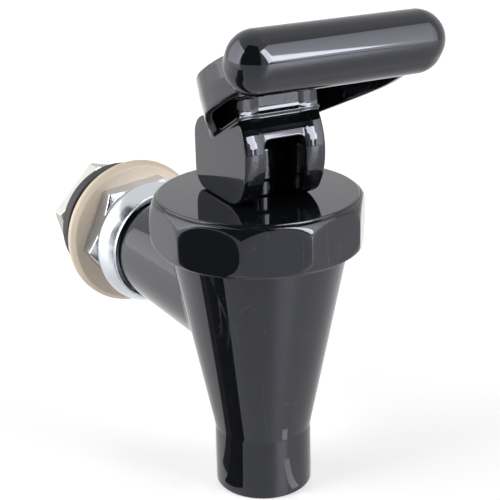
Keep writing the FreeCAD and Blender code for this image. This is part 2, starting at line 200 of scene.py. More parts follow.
body_black = glossy_black("moulded_black_abs", "111316", 0.03)
lever_black = glossy_black("moulded_black_abs_lever", "111316", 0.05)
# Acetal stem, its black made a little lighter than the body's: painted light that lifts it out of
# the slot's deep shade
stem_black_lightened = glossy_black("moulded_black_acetal", "16181b", 0.1)
chrome = plated("chrome_plated_brass", "c9cdd4", 0.14, 3.0)
nickel = plated("nickel_plated_brass", "b4b3b0", 0.3, 1.2)
spring_steel = plated("drawn_spring_wire", "b9bbbd", 0.25, 1.0)
ring_brass = plated("turned_brass_ring", "d9b878", 0.25, 1.0)
silicone = moulded_rubber("moulded_silicone", "c9c6bd", 0.45, "d6d3ca")
washer_beige = moulded_rubber("beige_sealing_washer", "e6d8c6", 0.5, "dac9b4")
washer_black = moulded_rubber("black_rubber_washer", "121213", 0.55, "1b1b1c")


# ---------------------------------------------------------------- shape helpers

def piece(name, points, faces, material, body, node, normals=None):
    """A closed mesh from points in millimetres, which rides on a body for a CAD node."""
    mesh = bpy.data.meshes.new(name)
    mesh.from_pydata((np.asarray(points) * MM).tolist(), [], faces)
    mesh.validate()
    mesh.materials.append(material)
    mesh.polygons.foreach_set("use_smooth", [True] * len(mesh.polygons))
    if normals is None:
        normals = area_normals(mesh)
    mesh.normals_split_custom_set_from_vertices(normals.tolist())
    obj = bpy.data.objects.new(name, mesh)
    bpy.context.scene.collection.objects.link(obj)
    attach(obj, body)
    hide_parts(node)
    return obj


def area_normals(mesh):
    """Vertex normals weighted by face area, so that flats stay flat beside fine roundings."""
    total = np.zeros((len(mesh.vertices), 3))
    for face in mesh.polygons:
        total[list(face.vertices)] += np.array(face.normal) * face.area
    return total / np.maximum(np.linalg.norm(total, axis=1), 1e-30)[:, None]


def rounded(*corners, steps=4):
    """Profile through corners (a, b, radius), each corner turned by an arc of its radius.

    A profile that starts and ends on the axis stays open; the ends have no radius.
    """
    points = []
    count = len(corners)
    for k, (a, b, radius) in enumerate(corners):
        here = np.array((a, b), float)
        if radius <= 0:
            points.append(here)
            continue
        before = np.array(corners[k - 1][:2], float) - here
        after = np.array(corners[(k + 1) % count][:2], float) - here
        before /= np.linalg.norm(before)
        after /= np.linalg.norm(after)
        half = math.acos(max(-1.0, min(1.0, float(before @ after)))) / 2
        if half > math.radians(89.5):
            points.append(here)
            continue
        bisector = (before + after) / np.linalg.norm(before + after)
        centre = here + bisector * radius / math.sin(half)
        start = here + before * radius / math.tan(half) - centre
        end = here + after * radius / math.tan(half) - centre
        turn = math.atan2(start[0] * end[1] - start[1] * end[0], float(start @ end))
        for step in range(steps + 1):
            angle = turn * step / steps
            c, s = math.cos(angle), math.sin(angle)
            points.append(centre + (start[0] * c - start[1] * s, start[0] * s + start[1] * c))
    return [tuple(p) for p in points]


def finely(profile, gap):
    """The same profile with no stretch longer than gap."""
    fine = []
    for k, (a, b) in enumerate(profile):
        c, d = profile[(k + 1) % len(profile)]
        parts = max(1, math.ceil(math.hypot(c - a, d - b) / gap))
        fine += [(a + (c - a) * t / parts, b + (d - b) * t / parts) for t in range(parts)]
    return fine


def flat_radius(angle, flats):
    """Distance from the axis to a ring of flats with rounded corners, at an angle."""
    count, apothem, turn, radius = flats
    half = math.pi / count
    off = (angle - math.radians(turn) + half) % (2 * half) - half
    middle = (apothem - radius) / math.cos(half)
    edge = math.atan2(radius * math.sin(half), middle + radius * math.cos(half))
    if abs(off) < edge:
        return middle * math.cos(off) + math.sqrt(radius ** 2 - (middle * math.sin(off)) ** 2)
    return apothem / math.cos(half - abs(off))


def soft_min(a, b, blend):
    """Smaller of two sizes, with the crease between them rounded."""
    near = max(blend - abs(a - b), 0.0) / blend
    return min(a, b) - near * near * blend / 4


def turned_mesh(profile, axis, flats=None, clipped=None, segments=192, blend=0.3):
    """Points and faces of a solid turned about an axis from (radius, place) points.

    axis is "up" for the tap's upright axis and "shank" for the shank's. flats, given as
    (count, apothem, turn, corner radius), limit the radius where clipped(radius, place).
    """
    closed = profile[0][0] > 0 and profile[-1][0] > 0
    angles = [2 * math.pi * k / segments for k in range(segments)]
    if flats:
        count, apothem, turn, radius = flats
        edge = math.atan2(radius * math.sin(math.pi / count), apothem / math.cos(math.pi / count))
        corner = [math.radians(turn) + 2 * math.pi * k / count for k in range(count)]
        fine = [c + edge * t for c in corner for t in (-1, -0.5, 0, 0.5, 1)]
        angles = [a for a in angles
                  if min(abs((a - c + math.pi) % (2 * math.pi) - math.pi) for c in corner)
                  > 1.5 * edge]
        angles = sorted(a % (2 * math.pi) for a in angles + fine)
    points, rows = [], []
    for r, place in profile:
        if r <= 0:
            rows.append([len(points)] * len(angles))
            points.append((0.0, place, 0.0))
            continue
        rows.append(range(len(points), len(points) + len(angles)))
        for angle in angles:
            size = r
            if flats and clipped(r, place):
                size = soft_min(r, flat_radius(angle, flats), blend)
            points.append((size * math.cos(angle), place, size * math.sin(angle)))
    faces = []
    pairs = list(zip(rows, rows[1:])) + ([(rows[-1], rows[0])] if closed else [])
    for low, high in pairs:
        for k in range(len(angles)):
            n = (k + 1) % len(angles)
            face = [low[k], low[n], high[n], high[k]]
            faces.append(tuple(dict.fromkeys(face)))
    points = np.array(points)
    if axis == "up":
        points = points[:, [0, 2, 1]] + (0.0, -REACH, 0.0)
    else:
        faces = [face[::-1] for face in faces]
    # A profile may run either way round: the signed volume shows which way faces point
    p, q, r = (points[[face[k] for face in faces]] for k in (0, 1, 2))
    volume = np.einsum("ij,ij->", p, np.cross(q, r))
    volume += sum(points[f[0]] @ np.cross(points[f[2]], points[f[3]]) for f in faces
                  if len(f) == 4)
    if volume < 0:
        faces = [face[::-1] for face in faces]
    return points, faces


def joined(*parts):
    """Several closed meshes as one."""
    points, faces, base = [], [], 0
    for some_points, some_faces in parts:
        points.append(some_points)
        faces += [tuple(base + k for k in face) for face in some_faces]
        base += len(some_points)
    return np.vstack(points), faces


def turned_with_lever(points):
    """Points turned with the lever about the upright axis."""
    c, s = math.cos(math.radians(LEVER_TURN)), math.sin(math.radians(LEVER_TURN))
    x, y, z = np.asarray(points).T
    y = y + REACH
    return np.stack((x * c - y * s, x * s + y * c - REACH, z), axis=1)


# ---------------------------------------------------------------- body

SPOUT_R = 9.5
CONE_TOP_R = 16.95
CONE_TOP_Z = BONNET_Z - 0.3
CONE_FOOT_Z = SPOUT_MOUTH + 12.5
NECK_R = 15.0
NECK_TOP = CONE_TOP_Z + 6.1
ARM_R = 11.1
ARM_DRAFT = math.tan(math.radians(2.2))
ARM_END = NUT_FRONT + 0.4
TAIL_R = 8.7
TAIL_END = span("inlet_gasket", 1)[0]
PASSAGE_R = 5.2
OUTLET_R = 7.0
NECK_WALL, CONE_WALL = 2.4, 2.6
SEAT_R, SEAT_OUT_R, SEAT_Z, SEAT_H = 6.2, 7.8, -4.8, 1.2
FILLET = 1.3             # where the arm runs into the cone


def cone_radius(z):
    return SPOUT_R + (CONE_TOP_R - SPOUT_R) * (z - CONE_FOOT_Z) / (CONE_TOP_Z - CONE_FOOT_Z)


def arm_mesh(segments=160, bend=8):
    """The inlet arm: a drafted round arm that runs into the cone with a fillet."""
    angle = np.linspace(0, 2 * math.pi, segments, endpoint=False)

    def skin(y):
        size = ARM_R + (ARM_END - y) * ARM_DRAFT
        return np.stack((size * np.sin(angle), y, np.minimum(size * np.cos(angle), CONE_TOP_Z)),
                        axis=1)

    # Where each line of the arm meets the cone, by halving
    near, far = np.full(segments, -REACH), np.full(segments, ARM_END)
    for _ in range(40):
        y = (near + far) / 2
        place = skin(y)
        inside = np.hypot(place[:, 0], y + REACH) < cone_radius(place[:, 2])
        near, far = np.where(inside, y, near), np.where(inside, far, y)
    meet = skin(far)
    out = meet * (1, 1, 0) + (0, REACH, 0)
    out /= np.linalg.norm(out, axis=1)[:, None]
    slope = (CONE_TOP_R - SPOUT_R) / (CONE_TOP_Z - CONE_FOOT_Z)
    normal = out - (0, 0, slope)
    normal /= np.linalg.norm(normal, axis=1)[:, None]
    along = np.roll(meet, -1, axis=0) - np.roll(meet, 1, axis=0)
    away = np.cross(along, normal)
    away /= np.linalg.norm(away, axis=1)[:, None]
    middle = np.array((0.0, -REACH, 0.0))
    flip = np.sign(np.einsum("ij,ij->i", away, meet * (1, 0, 1)))
    away *= np.where(flip == 0, 1, flip)[:, None]
    # Under the bonnet's rim the crown is flat, so the fillet fades out there
    fade = np.clip((CONE_TOP_Z - 0.8 - meet[:, 2]) / 2.0, 0, 1)[:, None] * FILLET + 0.05
    start = skin(far + fade[:, 0])
    end = meet + away * fade
    end[:, 2] = np.minimum(end[:, 2], CONE_TOP_Z)
    rings = []
    tail = rounded((TAIL_R, TAIL_END, 0.2), (TAIL_R, ARM_END, 0), (ARM_R, ARM_END, 0.3))
    for r, y in [(PASSAGE_R, TAIL_END)] + tail[:-1]:
        rings.append(np.stack((r * np.sin(angle), np.full(segments, y), r * np.cos(angle)), 1))
    for t in np.linspace(0, 1, 14)[1:]:
        rings.append(skin(ARM_END - 0.3 + (start[:, 1] - ARM_END + 0.3) * t))
    for t in np.linspace(0, 1, bend + 1)[1:]:
        rings.append(start * (1 - t) ** 2 + meet * 2 * t * (1 - t) + end * t ** 2)
    rings.append(end - normal * 0.4)
    rings.append((end - normal * 0.4) * 0.5 + middle * 0.5)
    inner = np.stack((PASSAGE_R * np.sin(angle), np.full(segments, -REACH + 9),
                      PASSAGE_R * np.cos(angle)), 1)
    rings.append(inner)
    points = np.vstack(rings)
    faces = []
    for row in range(len(rings)):
        low, high = row * segments, (row + 1) % len(rings) * segments
        for k in range(segments):
            n = (k + 1) % segments
            faces.append((low + k, low + n, high + n, high + k))
    p, q, r, s = (points[[face[k] for face in faces]] for k in range(4))
    if np.einsum("ij,ij->", p, np.cross(q, r)) + np.einsum("ij,ij->", p, np.cross(r, s)) < 0:
        faces = [face[::-1] for face in faces]
    return points, faces


def make_tap_body():
    """Spout, cone, screwed neck and inlet arm, with the outlet and valve chamber inside."""
    chamber = SEAT_Z - SEAT_H
    profile = rounded(
        (OUTLET_R, SPOUT_MOUTH, 0.25), (SPOUT_R, SPOUT_MOUTH, 0.45), (SPOUT_R, CONE_FOOT_Z, 3.0),
        (CONE_TOP_R, CONE_TOP_Z, 0.5), (NECK_R, CONE_TOP_Z, 0.1), (NECK_R, NECK_TOP, 0.3),
        (NECK_R - NECK_WALL, NECK_TOP, 0.2), (NECK_R - NECK_WALL, CONE_TOP_Z, 0),
        (cone_radius(chamber) - CONE_WALL, chamber, 0.4), (SEAT_OUT_R, chamber, 0.3),
        (SEAT_OUT_R, SEAT_Z, 0.4), (SEAT_R, SEAT_Z, 0.4), (SEAT_R, -7.2, 0),
        (SEAT_R, SPOUT_MOUTH + 21.2, 0), (OUTLET_R, SPOUT_MOUTH + 20.0, 0), steps=5)
    cone = turned_mesh(finely(profile, 1.5), "up", segments=224)
    points, faces = joined(cone, arm_mesh())
    return piece("tap_body_moulding", points, faces, body_black, "tap", "tap_body")


# ---------------------------------------------------------------- bonnet

FLATS = (10, 19.5, 12.0, 0.7)     # count, apothem, turn, corner rounding


def make_bonnet():
    """Screw cap: a barrel with ten flats, which leave curved facets between its two bevels."""
    rim, crown, barrel = 19.3, 18.9, 20.65
    guide, boss, boss_h, roof_t, thread = 4.1, 5.0, 5.7, 3.2, NECK_R + 0.1
    low, high = BONNET_Z + 4.2, BONNET_Z + 4.9
    top = BONNET_TOP

    def bulge(a, b, r0, r1, steps=18):
        """Quarter curve of the barrel, from its belt to its rim."""
        return [(r1 + (r0 - r1) * math.cos(math.pi / 2 * t / steps),
                 a + (b - a) * math.sin(math.pi / 2 * t / steps)) for t in range(steps + 1)]

    outer = bulge(low, BONNET_Z + 0.35, barrel, rim)[::-1] + bulge(high, top - 0.35, barrel, crown)
    edge = rounded((crown, top - 0.35, 0), (crown, top, 0.35), (guide, top, 0.25),
                   (guide, top - boss_h, 0.1), (boss, top - boss_h, 0.1),
                   (boss, top - roof_t, 0.2), (thread, top - roof_t, 0.3),
                   (thread, BONNET_Z, 0.2), (rim - 0.1, BONNET_Z, 0.25))[1:]
    profile = finely(outer, 0.3) + edge
    points, faces = turned_mesh(profile, "up", FLATS, lambda r, z: r > rim - 0.3, segments=480,
                                blend=0.35)
    return piece("bonnet_screw_cap", points, faces, body_black, "tap", "bonnet")


# ---------------------------------------------------------------- stem

STEM_R = 3.95
NECKING_R = 3.3          # drawn in where the stem stands clear of the bonnet
HEAD_R = 4.8
STEM_FOOT = span("stem", 2)[0]
KNOB_R, KNOB_H = 3.4, 2.0          # holds the seat cup
KNOB_NECK_R, KNOB_NECK_H = 2.2, 1.8
COLLAR_R, COLLAR_H = 5.9, 1.6      # the spring stands on it
PIN_R, PIN_REACH = 2.0, 6.15       # the two pins that the lever hangs on


def make_stem():
    """Stem with its ball head, spring collar and the knob that holds the seat cup."""
    knob_top = STEM_FOOT + KNOB_H
    collar = knob_top + KNOB_NECK_H
    collar_top = collar + COLLAR_H
    shaft_top = PIVOT_Z + math.sqrt(HEAD_R ** 2 - STEM_R ** 2)
    start = math.acos((shaft_top - PIVOT_Z) / HEAD_R)
    dome = [(HEAD_R * math.sin(start * (1 - t / 10)), PIVOT_Z + HEAD_R * math.cos(
        start * (1 - t / 10))) for t in range(11)]
    profile = [(0.0, STEM_FOOT)] + rounded(
        (0.01, STEM_FOOT, 0), (KNOB_R, STEM_FOOT, 0.3), (KNOB_R, knob_top, 0.2),
        (KNOB_NECK_R, knob_top, 0.2), (KNOB_NECK_R, collar, 0.2), (COLLAR_R, collar, 0.3),
        (COLLAR_R, collar_top, 0.3), (STEM_R, collar_top, 0.2), (STEM_R, BONNET_TOP - 1.9, 0.3),
        (NECKING_R, BONNET_TOP - 1.3, 0.4), (NECKING_R, BONNET_TOP + 2.8, 0.4),
        (STEM_R, BONNET_TOP + 3.4, 0.3), (STEM_R, shaft_top - 0.3, 0))[1:]
    profile += [(r, z) for r, z in dome[:-1]] + [(0.0, dome[-1][1])]
    shaft = turned_mesh(profile, "up", segments=128)
    pin = [(0.0, -PIN_REACH)] + rounded(
        (0.01, -PIN_REACH, 0), (PIN_R, -PIN_REACH, 0.3), (PIN_R, PIN_REACH, 0.3),
        (0.01, PIN_REACH, 0))[1:-1] + [(0.0, PIN_REACH)]
    pins = turned_mesh(pin, "shank", segments=48)
    pins = (pins[0][:, [1, 0, 2]] * (1, -1, 1) + (0.0, -REACH, PIVOT_Z), pins[1])
    points, faces = joined(shaft, pins)
    return piece("stem_ball_head", turned_with_lever(points), faces, stem_black_lightened, "stem", "stem")


# ---------------------------------------------------------------- lever

HUB_W, SLOT_W, SLOT_TOP = 16.2, 8.1, 35.2
HUB_BACK, HUB_FRONT, HUB_WAIST, HUB_BULGE = 9.8, 11.4, 2.8, 2.9
CHEEK_CROWN = 7.0        # radius across each cheek's front edge
HEEL_R, SHOULDER_R, HUB_CROWN, SLOT_BACK = 3.8, 4.4, 5.0, 5.4
CAM_THROW, PULL = 4.2, math.radians(40)
SLOPE = math.radians(28.2)
PLATE_T, PLATE_W, PLATE_L, PLATE_BACK, PLATE_SIDE = 6.7, 36.3, 37.6, 7.2, 18.0
BOW_R, BOW_MIDDLE, CORNER_R = 22.0, 12.0, 1.5
SKIRT, SKIN, RIB = 1.6, 2.2, 0.3
SCOOP_R, LIP_Y, LIP_Z, LIP_SLOPE = 9.6, -8.85, 39.45, math.radians(39.0)
GRIP_REACH, GRIP_Z, GRIP_L = 27.9, 53.4, 39.2
GRIP_W, GRIP_T, GRIP_CORNER, GRIP_TILT = 5.0, 5.3, 4.8, math.radians(33.0)
EDGE = 0.45              # rounding of the moulding's outer edges


def both(a, b, r):
    """Space that two fields share, its edge rounded by r. Fields are negative inside."""
    return np.minimum(-r, np.maximum(a, b)) + np.hypot(np.maximum(r + a, 0), np.maximum(r + b, 0))


def either(a, b, r):
    """Space of either field, with a fillet r between them."""
    return np.maximum(r, np.minimum(a, b)) - np.hypot(np.maximum(r - a, 0), np.maximum(r - b, 0))


def less(a, b, r):
    """Field a with b taken away, the cut's edge rounded by r."""
    return both(a, -b, r)


def polygon(corners):
    """Signed distance to a closed outline, as a function of two coordinates."""
    def field(u, v):
        best = np.full(np.broadcast(u, v).shape, 1e9)
        sign = np.ones(best.shape)
        for (a, b), (c, d) in zip(corners, corners[1:] + corners[:1]):
            e, f = c - a, d - b
            wu, wv = u - a, v - b
            t = np.clip((wu * e + wv * f) / (e * e + f * f), 0, 1)
            best = np.minimum(best, (wu - e * t) ** 2 + (wv - f * t) ** 2)
            up, down = (wv >= 0) & (v < d), (wv < 0) & (v >= d)
            left = e * wv - f * wu > 0
            sign = np.where((up & left) | (down & ~left), -sign, sign)
        return np.sqrt(best) * sign
    return field


def underside(y):
    return GRIP_Z - math.tan(SLOPE) * (y + GRIP_REACH) - PLATE_T / 2 / math.cos(SLOPE)


def hub_outline():
    """The cheeks from the side: an involute cam in front, heel, back, shoulder and waist."""
    foot = BONNET_TOP + 0.1
    rise = PIVOT_Z - foot
    cam = []
    for k in range(25):
        a = PULL * k / 24
        height = rise + CAM_THROW * a
        cam.append((-height * math.sin(a) - CAM_THROW * math.cos(a),
                    PIVOT_Z - height * math.cos(a) + CAM_THROW * math.sin(a)))
    waist_y = HUB_WAIST - HUB_FRONT
    waist = (waist_y, underside(waist_y))
    front = arc_through(cam[-1], (-HUB_FRONT, PIVOT_Z + HUB_BULGE), waist, 14)
    crown_y = HUB_BACK - SHOULDER_R
    crown = (crown_y, underside(crown_y) + HUB_CROWN)
    back = [(crown_y + SHOULDER_R * math.sin(a), crown[1] - SHOULDER_R * (1 - math.cos(a)))
            for a in np.linspace(0, math.pi / 2, 12)]
    heel = [(HUB_BACK - HEEL_R * (1 - math.cos(a)), foot + HEEL_R * (1 - math.sin(a)))
            for a in np.linspace(0, math.pi / 2, 10)]
    return cam + front[1:] + [(waist_y, waist[1] + PLATE_T / 2)] + back + heel


def arc_through(start, via, end, steps):
    """Points of the arc through three points."""
    (ax, ay), (bx, by), (cx, cy) = start, via, end
    d = 2 * (ax * (by - cy) + bx * (cy - ay) + cx * (ay - by))
    ux = ((ax * ax + ay * ay) * (by - cy) + (bx * bx + by * by) * (cy - ay)
          + (cx * cx + cy * cy) * (ay - by)) / d
    uy = ((ax * ax + ay * ay) * (cx - bx) + (bx * bx + by * by) * (ax - cx)
          + (cx * cx + cy * cy) * (bx - ax)) / d
    r = math.hypot(ax - ux, ay - uy)
    first, last = math.atan2(ay - uy, ax - ux), math.atan2(cy - uy, cx - ux)
    turn = (last - first + math.pi) % (2 * math.pi) - math.pi
    angles = [first + turn * k / steps for k in range(steps + 1)]
    return [(ux + r * math.cos(a), uy + r * math.sin(a)) for a in angles]


def bowed_plan(x, v, inset, corner):
    """Distance outside the plate's sides, moved in by inset: a bow that ends at a shoulder
    with a rounded corner, then a straight side to the plate's back."""
    middle_x = PLATE_W / 2 - BOW_R
    turn = math.asin((PLATE_SIDE - BOW_MIDDLE) / BOW_R)
    c, s = math.cos(turn), math.sin(turn)
    side, ahead = np.abs(x) - middle_x, v - BOW_MIDDLE
    bow = np.where(ahead * c - side * s > 0, side * c + ahead * s, np.hypot(side, ahead)) - BOW_R
    shoulder_x = middle_x + BOW_R * c
    width, length = shoulder_x - PLATE_BACK, PLATE_L - PLATE_SIDE
    straight = ((np.abs(x) - shoulder_x) * length + (v - PLATE_SIDE) * width) / math.hypot(
        width, length)
    return both(bow + inset, straight + inset, corner)


HUB = polygon(hub_outline())


def lever_field(x, y, z):
    """The lever as one moulding: grip bar, skirted plate and two cheeks, edges rounded."""
    # v runs down the plate from the grip's middle and n stands out of its upper face
    v = (y + GRIP_REACH) * math.cos(SLOPE) - (z - GRIP_Z) * math.sin(SLOPE)
    n = (y + GRIP_REACH) * math.sin(SLOPE) + (z - GRIP_Z) * math.cos(SLOPE)
    # The skirt drafts both ways from the tool's parting line at mid height
    plan = bowed_plan(x, v, 0, CORNER_R) + np.abs(n) * 0.05
    slab = np.abs(n) - PLATE_T / 2
    plate = both(both(plan, slab, EDGE), np.maximum(v - PLATE_L, -v), EDGE)
    inset = both(bowed_plan(x, v, SKIRT, 0.8), (GRIP_W + SKIRT) - v, 0.8)
    # One hollow runs round the hub's block, whose front is scooped for a fingertip
    scoop = np.hypot(y - LIP_Y + SCOOP_R * math.cos(LIP_SLOPE),
                     z - LIP_Z - SCOOP_R * math.sin(LIP_SLOPE)) - SCOOP_R
    ahead = np.minimum(scoop, y - LIP_Y)
    beside = HUB_W / 2 + RIB - np.abs(x)
    pocket = both(both(inset, either(beside, ahead, 0.5), 0.8), n - (PLATE_T / 2 - SKIN), 0.6)
    plate = less(plate, pocket, 0.3)
    cheek = (HUB_W - SLOT_W) / 4
    crown = np.clip(np.abs(x) - SLOT_W / 2 - cheek, -cheek, cheek) ** 2 / (2 * CHEEK_CROWN)
    hub = both(HUB(y - crown * np.clip(-y / 5, 0, 1), z), np.abs(x) - HUB_W / 2, 0.45)
    # The grip's section, swept along the bar and round its ends
    c, s = math.cos(GRIP_TILT), math.sin(GRIP_TILT)
    across = (y + GRIP_REACH) * c + (z - GRIP_Z) * s
    rise = (z - GRIP_Z) * c - (y + GRIP_REACH) * s
    out = np.hypot(np.maximum(np.abs(x) - (GRIP_L / 2 - GRIP_W), 0), across)
    du, dv = out - (GRIP_W - GRIP_CORNER), np.abs(rise) - (GRIP_T - GRIP_CORNER)
    grip = (np.hypot(np.maximum(du, 0), np.maximum(dv, 0)) + np.minimum(np.maximum(du, dv), 0)
            - GRIP_CORNER)
    solid = either(either(plate, hub, 0.5), grip, 0.6)
    slot = both(both(np.abs(x) - SLOT_W / 2, z - SLOT_TOP, 1.3),
                both(y - SLOT_BACK, (z - underside(y)) * math.cos(SLOPE), 0.5), 0.5)
    solid = less(solid, slot, 0.3)
    socket = both(np.hypot(y, z - PIVOT_Z) - PIN_R - 0.05, np.abs(x) - PIN_REACH - 0.1, 0.2)
    return less(solid, socket, 0.2)


def field_mesh(field, low, high, step):
    """Closed mesh of a field's zero surface: one point in each grid cell that it crosses,
    drawn onto the surface; the field's slope gives each point its normal."""
    axes = [np.arange(a, b + step, step) for a, b in zip(low, high)]
    value = np.broadcast_to(field(*np.ix_(*axes)), [len(a) for a in axes]).astype(np.float32)
    inside = value < 0
    count = sum(inside[i:inside.shape[0] - 1 + i, j:inside.shape[1] - 1 + j,
                       k:inside.shape[2] - 1 + k].astype(np.int8)
                for i in (0, 1) for j in (0, 1) for k in (0, 1))
    cells = np.argwhere((count > 0) & (count < 8))
    index = np.full(count.shape, -1, np.int64)
    index[tuple(cells.T)] = np.arange(len(cells))
    total, hits = np.zeros((len(cells), 3)), np.zeros(len(cells))
    for axis in range(3):
        for i in (0, 1):
            for j in (0, 1):
                start = np.insert(np.array((i, j)), axis, 0)
                end = np.insert(np.array((i, j)), axis, 1)
                a, b = value[tuple((cells + start).T)], value[tuple((cells + end).T)]
                cross = (a < 0) != (b < 0)
                t = np.where(cross, a / np.where(cross, a - b, 1), 0)[:, None]
                total += np.where(cross[:, None], start + (end - start) * t, 0)
                hits += cross
    points = (cells + total / hits[:, None]) * step + np.array(low)

    def slope(p):
        h = 0.02
        return np.stack([field(*(p + h * e).T) - field(*(p - h * e).T)
                         for e in np.eye(3)], axis=1) / (2 * h)

    for _ in range(4):
        g = slope(points)
        move = field(*points.T)[:, None] * g / np.maximum((g * g).sum(1), 0.2)[:, None]
        points -= np.clip(move, -step / 2, step / 2)
    normals = slope(points)
    normals /= np.maximum(np.linalg.norm(normals, axis=1), 1e-9)[:, None]
    faces = []
    for axis in range(3):
        u, w = (axis + 1) % 3, (axis + 2) % 3
        shape = list(inside.shape)
        first = [slice(0, n) for n in shape]
        second = [slice(0, n) for n in shape]
        first[axis], second[axis] = slice(0, shape[axis] - 1), slice(1, shape[axis])
        change = inside[tuple(first)] != inside[tuple(second)]
        edge = np.argwhere(change)
        edge = edge[(edge[:, u] > 0) & (edge[:, w] > 0)]
        outward = inside[tuple(edge.T)]
        corners = []
        for du, dw in ((0, 0), (1, 0), (1, 1), (0, 1)):
            cell = edge.copy()
            cell[:, u] -= du
            cell[:, w] -= dw
            corners.append(index[tuple(cell.T)])
        quad = np.stack(corners, axis=1)
        quad[~outward] = quad[~outward][:, ::-1]
        faces.append(quad)
    return points, np.vstack(faces).tolist(), normals


def make_lever():
    """The lever, the piece that asks for the most shape."""
    low, high = (-21.0, -35.0, BONNET_TOP - 1.0), (21.0, 12.0, 61.0)
    points, faces, normals = field_mesh(lever_field, low, high, 0.32)
    normals = turned_with_lever(normals - (0, REACH, 0)) + (0, REACH, 0)
    return piece("lever_moulding", turned_with_lever(points - (0, REACH, 0)), faces, lever_black,
                 "lever", "lever_handle", normals)


# ---------------------------------------------------------------- coupling, shank, washers

HEX_AF = 23.8
HEX_CORNER = HEX_AF / math.sqrt(3)
HEX_BEVEL = (HEX_CORNER - HEX_AF / 2) * math.tan(math.radians(30))
HOLE_R = 8.04            # through the washers and the lock nut, round the shank


def make_coupling_nut():
    """Chrome coupling nut: a hexagon with a domed front and a thin lip round the arm."""
    front, wall, hexed = NUT_FRONT, NUT_FRONT + 0.7, NUT_BACK - 4.0
    lip, lip_out, barrel, swell, thread, hole, web = 11.2, 11.75, 12.1, 1.3, 10.2, 8.8, 2.8
    dome = [(barrel + swell * math.sin(math.pi * t / 16),
             wall + 0.5 + (hexed - wall - 0.5) * t / 16) for t in range(17)]
    profile = rounded((lip, front, 0.2), (lip_out, front, 0.2), (lip_out, wall, 0.2),
                      (barrel, wall, 0.3)) + dome
    head = rounded((barrel, hexed, 0), (HEX_AF / 2 + 0.2, hexed, 0),
                   (HEX_CORNER + 0.05, hexed + HEX_BEVEL, 0.2),
                   (HEX_CORNER + 0.05, NUT_BACK, 0.2), (thread, NUT_BACK, 0.3),
                   (thread, front + web, 0.1), (hole, front + web, 0.1), (hole, wall, 0.1),
                   (lip, wall, 0.1))
    points, faces = turned_mesh(finely(profile + head, 0.3), "shank", (6, HEX_AF / 2, 5.0, 0.5),
                                lambda r, y: y > hexed + 0.02 and r > 11.0, segments=288,
                                blend=0.25)
    return piece("coupling_nut_chromed", points, faces, chrome, "tap", "coupling_nut")


def make_lock_nut():
    """Nickelled lock nut that pulls the washers against the vessel's wall."""
    low, high = span("lock_nut", 1)
    profile = rounded((HOLE_R, low, 0.4), (HEX_AF / 2, low, 0),
                      (HEX_CORNER + 0.05, low + HEX_BEVEL, 0.2), (HEX_CORNER + 0.05, high, 0.2),
                      (HOLE_R, high, 0.5))
    points, faces = turned_mesh(finely(profile, 0.3), "shank", (6, HEX_AF / 2, 45.0, 0.5),
                                lambda r, y: r > 11.0, segments=240, blend=0.25)
    return piece("lock_nut_nickelled", points, faces, nickel, "tap", "lock_nut")


def make_ring(name, node, corners, material, segments=160):
    """A plain turned ring along the shank, its corners rounded."""
    points, faces = turned_mesh(finely(rounded(*corners), 2.0), "shank", segments=segments)
    return piece(name, points, faces, material, "tap", node)


def make_washers():
    low, high = span("outer_washer", 1)
    rim, face = 16.1, 15.2
    make_ring("outer_sealing_washer", "outer_washer",
              [(HOLE_R, low, 0.2), (face, low, 0.6), (rim, low + 1.2, 0.9), (rim, high, 0.4),
               (HOLE_R, high, 0.2)], washer_beige)
    for name, node, hole, rim, corner, edge in (
            ("inner_sealing_washer", "inner_washer", HOLE_R, 13.6, 0.2, 0.5),
            ("inlet_sealing_gasket", "inlet_gasket", 5.8, TAIL_R, 0.15, 0.15)):
        low, high = span(node, 1)
        make_ring(name, node, [(hole, low, corner), (rim, low, edge), (rim, high, edge),
                               (hole, high, corner)], washer_black)


def make_retaining_ring(gap=3.0, segments=96):
    """Split brass ring in the arm's groove, its gap underneath."""
    low, high = span("retaining_ring", 1)
    inner, outer = TAIL_R - 0.78, span("retaining_ring", 0)[1]
    section = rounded((inner, low, 0.15), (outer, low, 0.25), (outer, high, 0.25),
                      (inner, high, 0.15))
    half = gap / 2 / outer
    points, count = [], len(section)
    for k in range(segments + 1):
        angle = half + (2 * math.pi - 2 * half) * k / segments
        points += [(r * math.sin(angle), y, -r * math.cos(angle)) for r, y in section]
    faces = [tuple(range(count))[::-1], tuple(segments * count + j for j in range(count))]
    for k in range(segments):
        a, b = k * count, (k + 1) * count
        faces += [(a + j, a + (j + 1) % count, b + (j + 1) % count, b + j) for j in range(count)]
    piece("retaining_split_ring", points, faces, ring_brass, "tap", "retaining_ring")


def make_seat_cup():
    """Silicone cup: a crowned sealing disc on the stem's knob, a thin sleeve and a flange
    that the bonnet clamps. The real cup folds up a little as the stem lifts; this one is drawn
    unfolded."""
    seat, top = span("seat_cup", 2)
    disc_r, disc_top, neck_top, wall = 8.6, seat + 4.4, top - 1.1, 0.9
    play = (STEM_FOOT + KNOB_H + KNOB_NECK_H - disc_top) / 2
    sleeve = COLLAR_R + 2 * play
    pocket, pocket_foot, neck = KNOB_R + play, STEM_FOOT - play, KNOB_NECK_R + play
    roof = STEM_FOOT + KNOB_H + 0.5    # room for the knob as the cup folds
    profile = [(0.0, seat)] + rounded(
        (0.01, seat, 0), (disc_r, seat + 0.15, 0.9), (disc_r, disc_top, 0.5),
        (sleeve + wall, disc_top, 0.3), (sleeve + wall, neck_top, 0.3),
        (NECK_R - play, neck_top, 0.2), (NECK_R - play, top, 0.2), (sleeve, top, 0.4),
        (sleeve, disc_top, 0.3), (neck, disc_top, 0.2), (neck, roof, 0.1),
        (pocket, roof, 0.1), (pocket, pocket_foot, 0.2),
        (0.01, pocket_foot, 0))[1:-1] + [(0.0, pocket_foot)]
    points, faces = turned_mesh(profile, "up", segments=96)
    cup = piece("seat_cup_silicone", points, faces, silicone, "tap", "seat_cup")
    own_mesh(cup)


# ---------------------------------------------------------------- thread and spring

